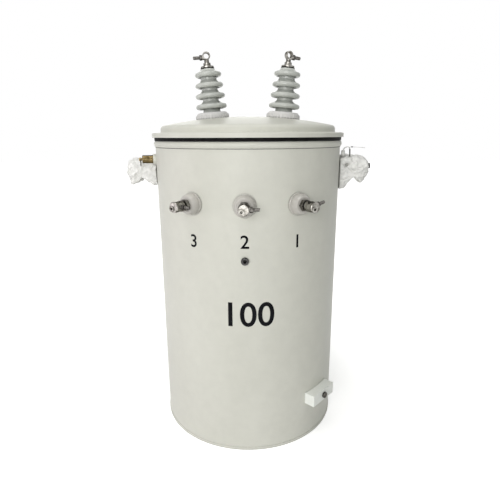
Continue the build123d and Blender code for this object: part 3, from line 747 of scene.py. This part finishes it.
def rounded_cushion(word):
    """The plain cushion on an even mesh, with its free outside rounded."""
    shape = bmesh.new()
    shape.from_mesh(frame["nodes"]["foam_wrap_" + word].data)
    bmesh.ops.remove_doubles(shape, verts=shape.verts, dist=MERGE_DISTANCE)
    wrap = piece_from("foam_sheet_" + word, shape, LOOKS["white_foam"])
    remesh = wrap.modifiers.new("remesh", "REMESH")
    remesh.mode = "VOXEL"
    remesh.voxel_size = VOXEL
    apply_modifiers(wrap)
    hold_group(wrap, "outer", lambda point: not pinned(point))
    rounder = wrap.modifiers.new("round", "SMOOTH")
    rounder.factor = 0.5
    rounder.iterations = ROUNDING_PASSES
    rounder.vertex_group = "outer"
    apply_modifiers(wrap)
    return wrap


def crumple_skin(wrap, word):
    """Folds and gathers the skin, less near the wall, where it flares instead."""
    mesh = wrap.data
    starts = [vertex.co.copy() for vertex in mesh.vertices]
    normals = [vertex.normal.copy() for vertex in mesh.vertices]
    for vertex, start, normal in zip(mesh.vertices, starts, normals):
        if near_lug(start):
            continue
        free = max(0.0, min(1.0, (start.xy.length - TANK_RADIUS - ROOT_START) / ROOT_LENGTH))
        amount = FILL + crumple(start, FOAM_SEEDS[word]) + gather(start, word)
        flare = Vector((0, start.y, start.z - ROOT_LEVEL)).normalized() * ROOT_FLARE * (1 - free)
        moved = start + normal * amount * (ROOT_SHARE + (1 - ROOT_SHARE) * free) + flare
        vertex.co = off_the_wall(moved)
    mesh.update()


def blow_up(wrap):
    """The loose sheet billows and buckles: cloth under a light pressure, a little too large for its form."""
    starts = [vertex.co.copy() for vertex in wrap.data.vertices]
    hold_group(wrap, "held", pinned)
    cloth = wrap.modifiers.new("billow", "CLOTH")
    settings = cloth.settings
    settings.quality = CLOTH_QUALITY
    settings.mass = SHEET_MASS
    settings.tension_stiffness = STRETCH_STIFFNESS
    settings.compression_stiffness = STRETCH_STIFFNESS
    settings.shear_stiffness = SHEAR_STIFFNESS
    settings.bending_stiffness = BEND_STIFFNESS
    settings.tension_damping = DAMPING
    settings.compression_damping = DAMPING
    settings.shear_damping = DAMPING
    settings.shrink_min = -SLACK
    settings.use_pressure = True
    settings.uniform_pressure_force = PRESSURE
    settings.vertex_group_mass = "held"
    settings.effector_weights.gravity = 0
    cloth.collision_settings.use_collision = False
    cloth.collision_settings.use_self_collision = True
    cloth.collision_settings.self_distance_min = SHEET_THICKNESS
    for frame_number in range(1, SIMULATED_FRAMES + 1):
        bpy.context.scene.frame_set(frame_number)
    graph = bpy.context.evaluated_depsgraph_get()
    done = wrap.evaluated_get(graph).to_mesh()
    ends = [vertex.co.copy() for vertex in done.vertices]
    wrap.evaluated_get(graph).to_mesh_clear()
    wrap.modifiers.remove(cloth)
    bpy.context.scene.frame_set(1)
    for vertex, start, end in zip(wrap.data.vertices, starts, ends):
        move = end - start
        if move.length > FREE_TRAVEL:
            move *= FREE_TRAVEL / move.length
        vertex.co = start + move
    wrap.data.update()


for word in SIDES:
    wrap = rounded_cushion(word)
    crumple_skin(wrap, word)
    blow_up(wrap)
    for vertex in wrap.data.vertices:
        vertex.co = off_the_wall(vertex.co)
    soften = wrap.modifiers.new("smooth", "SMOOTH")
    soften.factor = SOFTENING
    soften.iterations = 1
    divide = wrap.modifiers.new("divide", "SUBSURF")
    divide.levels = 1
    divide.render_levels = 1
    apply_modifiers(wrap)
    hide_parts("foam_wrap_" + word)

# Plastic tie at the root of the right wrap: its strap stands up in a loop and its tail points outward
TIE_REACH, TIE_SIDE, TIE_TOP = 0.298, -0.030, 0.877
TIE_LOOP = (
    (-0.007, -0.044), (-0.010, -0.024), (-0.008, -0.005), (0.004, 0),
    (0.012, -0.005), (0.011, -0.024), (0.009, -0.044),
)
TIE_TAIL = ((0.006, -0.0025), (0.016, -0.0010), (0.034, -0.0022), (0.056, -0.0040))
HEAD_OUT, HEAD_UP = -0.009, -0.019
HEAD_LENGTH, HEAD_WIDTH, HEAD_HEIGHT, HEAD_TAPER, HEAD_BEVEL = 0.0115, 0.0070, 0.016, 0.8, 0.0008
# Painted shade on the tie: how far aside it lies, and its points on the loop and on the tail
TIE_SHADE_ASIDE = -0.001
TIE_SHADE_ON_LOOP = ((0.0105, -0.008), (0.0115, -0.018), (0.0112, -0.030))
TIE_SHADE_ON_TAIL = ((0.0150, -0.0013), (0.0190, -0.0013))


def by_tie(places, aside=0.0):
    """The points of these places, each given as how far outward and up it is from the loop's top."""
    return [(TIE_REACH + out, TIE_SIDE + aside, TIE_TOP + up) for out, up in places]


tie = bmesh.new()
add_strap(tie, by_tie(TIE_LOOP), width=0.0052, thickness=0.0024)
add_strap(tie, by_tie(TIE_TAIL), width=0.0036, thickness=0.0015)
head = bmesh.ops.create_cube(tie, size=1)["verts"]
for vertex in head:
    taper = HEAD_TAPER if vertex.co.z > 0 else 1.0
    vertex.co = Vector((
        TIE_REACH + HEAD_OUT + vertex.co.x * HEAD_LENGTH * taper,
        TIE_SIDE + vertex.co.y * HEAD_WIDTH,
        TIE_TOP + HEAD_UP + vertex.co.z * HEAD_HEIGHT,
    ))
head_edges = [edge for edge in tie.edges if all(vertex in head for vertex in edge.verts)]
bmesh.ops.bevel(tie, geom=head_edges, offset=HEAD_BEVEL, segments=2)
piece_from("wrap_tie", tie, TIE_PLASTIC)

# Painted shade on the tie: dark strap pieces over the loop's far leg and the tail's start
tie_shade = bmesh.new()
add_strap(tie_shade, by_tie(TIE_SHADE_ON_LOOP, TIE_SHADE_ASIDE), width=0.0062, thickness=0.0026)
add_strap(tie_shade, by_tie(TIE_SHADE_ON_TAIL, TIE_SHADE_ASIDE), width=0.0050, thickness=0.0030, resolution=4)
piece_from("wrap_tie_painted_shade", tie_shade, LOOKS["ring_steel"])

# Small dark clip that holds the sheet's free edge at the outer end of the right wrap
CLIP_POINTS = ((0.3728, -0.014, 0.8270), (0.3752, -0.014, 0.8195), (0.3742, -0.014, 0.8110))
clip = bmesh.new()
add_strap(clip, CLIP_POINTS, width=0.0064, thickness=0.0036, resolution=6)
piece_from("wrap_clip", clip, LOOKS["ring_steel"])

# Floor: white to the eye, plain and pale to the lamps, and it keeps the shadow
FLOOR_SIZE, FLOOR_CELLS, FLOOR_COLOUR = 14, 8, (0.8, 0.8, 0.8, 1)
GLOW_NEAR, GLOW_FAR = 0.55, 1.0
GLOW_START, GLOW_END = 0.35, 1.1

floor_shape = bmesh.new()
bmesh.ops.create_grid(floor_shape, x_segments=FLOOR_CELLS, y_segments=FLOOR_CELLS, size=FLOOR_SIZE)
floor_mesh = bpy.data.meshes.new("floor")
floor_shape.to_mesh(floor_mesh)
floor_shape.free()
floor = in_scene("floor", floor_mesh)


def calculated(tree, operation, one, two):
    """A value worked out from two others."""
    node = tree.nodes.new("ShaderNodeMath")
    node.operation = operation
    tree.links.new(one, node.inputs[0])
    tree.links.new(two, node.inputs[1])
    return node.outputs[0]


def seen_directly(tree):
    """1 where the camera sees a thing, also in a mirror or through glass, and 0 for other light."""
    path = tree.nodes.new("ShaderNodeLightPath")
    seen = path.outputs["Is Camera Ray"]
    for name in ("Is Glossy Ray", "Is Transmission Ray"):
        seen = calculated(tree, "MAXIMUM", seen, path.outputs[name])
    return seen


floor_look = bpy.data.materials.new("floor")
floor_look.use_nodes = True
tree = floor_look.node_tree
tree.nodes.clear()
output = tree.nodes.new("ShaderNodeOutputMaterial")
matte = tree.nodes.new("ShaderNodeBsdfDiffuse")
matte.inputs["Color"].default_value = FLOOR_COLOUR
place = tree.nodes.new("ShaderNodeTexCoord")
reach = tree.nodes.new("ShaderNodeVectorMath")
reach.operation = "LENGTH"
tree.links.new(place.outputs["Object"], reach.inputs[0])
lift = spread(tree, reach.outputs["Value"], GLOW_NEAR, GLOW_FAR, GLOW_START, GLOW_END)
glow = tree.nodes.new("ShaderNodeEmission")
tree.links.new(calculated(tree, "MULTIPLY", seen_directly(tree), lift), glow.inputs["Strength"])
total = tree.nodes.new("ShaderNodeAddShader")
tree.links.new(matte.outputs[0], total.inputs[0])
tree.links.new(glow.outputs[0], total.inputs[1])
tree.links.new(total.outputs[0], output.inputs["Surface"])
floor.data.materials.append(floor_look)

# World: white where it is seen, and dimmer as a light, more so on the right
WORLD_LIGHT_COLOUR = (0.97, 1.0, 0.95, 1)
WORLD_LEFT, WORLD_RIGHT = 0.38, 0.20

world = bpy.data.worlds.new("studio")
bpy.context.scene.world = world
world.use_nodes = True
tree = world.node_tree
tree.nodes.clear()
output = tree.nodes.new("ShaderNodeOutputWorld")
seen = tree.nodes.new("ShaderNodeBackground")
seen.inputs["Color"].default_value = (*WHITE, 1)
seen.inputs["Strength"].default_value = 1.0
light = tree.nodes.new("ShaderNodeBackground")
light.inputs["Color"].default_value = WORLD_LIGHT_COLOUR
direction = tree.nodes.new("ShaderNodeTexCoord")
axes = tree.nodes.new("ShaderNodeSeparateXYZ")
tree.links.new(direction.outputs["Generated"], axes.inputs["Vector"])
level = spread(tree, axes.outputs["X"], WORLD_LEFT, WORLD_RIGHT, -1.0, 1.0)
tree.links.new(level, light.inputs["Strength"])
choose = tree.nodes.new("ShaderNodeMixShader")
tree.links.new(seen_directly(tree), choose.inputs[0])
tree.links.new(light.outputs[0], choose.inputs[1])
tree.links.new(seen.outputs[0], choose.inputs[2])
tree.links.new(choose.outputs[0], output.inputs["Surface"])


# Lamps
def lamp(name, place, aim, size, power, colour):
    """A round lamp at a place, turned towards its aim."""
    data = bpy.data.lights.new(name, "AREA")
    data.shape = "DISK"
    data.size = size
    data.energy = power
    data.color = colour
    direction = Vector(aim) - Vector(place)
    turn = direction.to_track_quat("-Z", "Y").to_matrix().to_4x4()
    in_scene(name, data).matrix_world = Matrix.Translation(place) @ turn


lamp("key_front", (-0.7, -3.7, 1.35), (0, 0, 0.5), 2.0, 76, (1.0, 0.99, 0.985))
lamp("side_left", (-3.1, -0.3, 0.25), (0, 0, 0.3), 2.0, 22, (1.0, 0.90, 1.0))
lamp("top", (-0.3, -0.8, 3.4), (0, 0, 0.9), 1.8, 29, (1, 0.985, 0.97))
lamp("back", (-0.5, 3.4, 1.6), (0, 0, 0.6), 2.2, 20, (1, 1, 0.96))

# Camera, as the photograph was taken, in degrees, metres and, for the lens and its sensor, millimetres
CAMERA_AZIMUTH, CAMERA_PITCH, CAMERA_YAW, CAMERA_ROLL = 1.9, 14.952, -0.2183, -0.2337
CAMERA_DISTANCE, CAMERA_HEIGHT = 1.37296, 0.91128
LENS, SENSOR_WIDTH = 30.986, 36

around = math.radians(CAMERA_AZIMUTH)
heading = around + math.radians(CAMERA_YAW)
pitch = math.radians(CAMERA_PITCH)
roll = math.radians(CAMERA_ROLL)
eye = Vector((math.sin(around) * CAMERA_DISTANCE, -math.cos(around) * CAMERA_DISTANCE, CAMERA_HEIGHT))
level_share = math.cos(pitch)
forward = Vector((-math.sin(heading) * level_share, math.cos(heading) * level_share, -math.sin(pitch)))
right = forward.cross(UP).normalized()
above = right.cross(forward)
camera_data = bpy.data.cameras.new("camera")
camera_data.lens = LENS
camera_data.sensor_width = SENSOR_WIDTH
camera = in_scene("camera", camera_data)
turn = Matrix((between(right, above, roll), between(above, -right, roll), -forward)).transposed().to_4x4()
camera.matrix_world = Matrix.Translation(eye) @ turn
bpy.context.scene.camera = camera
bpy.context.scene.view_settings.view_transform = "Standard"
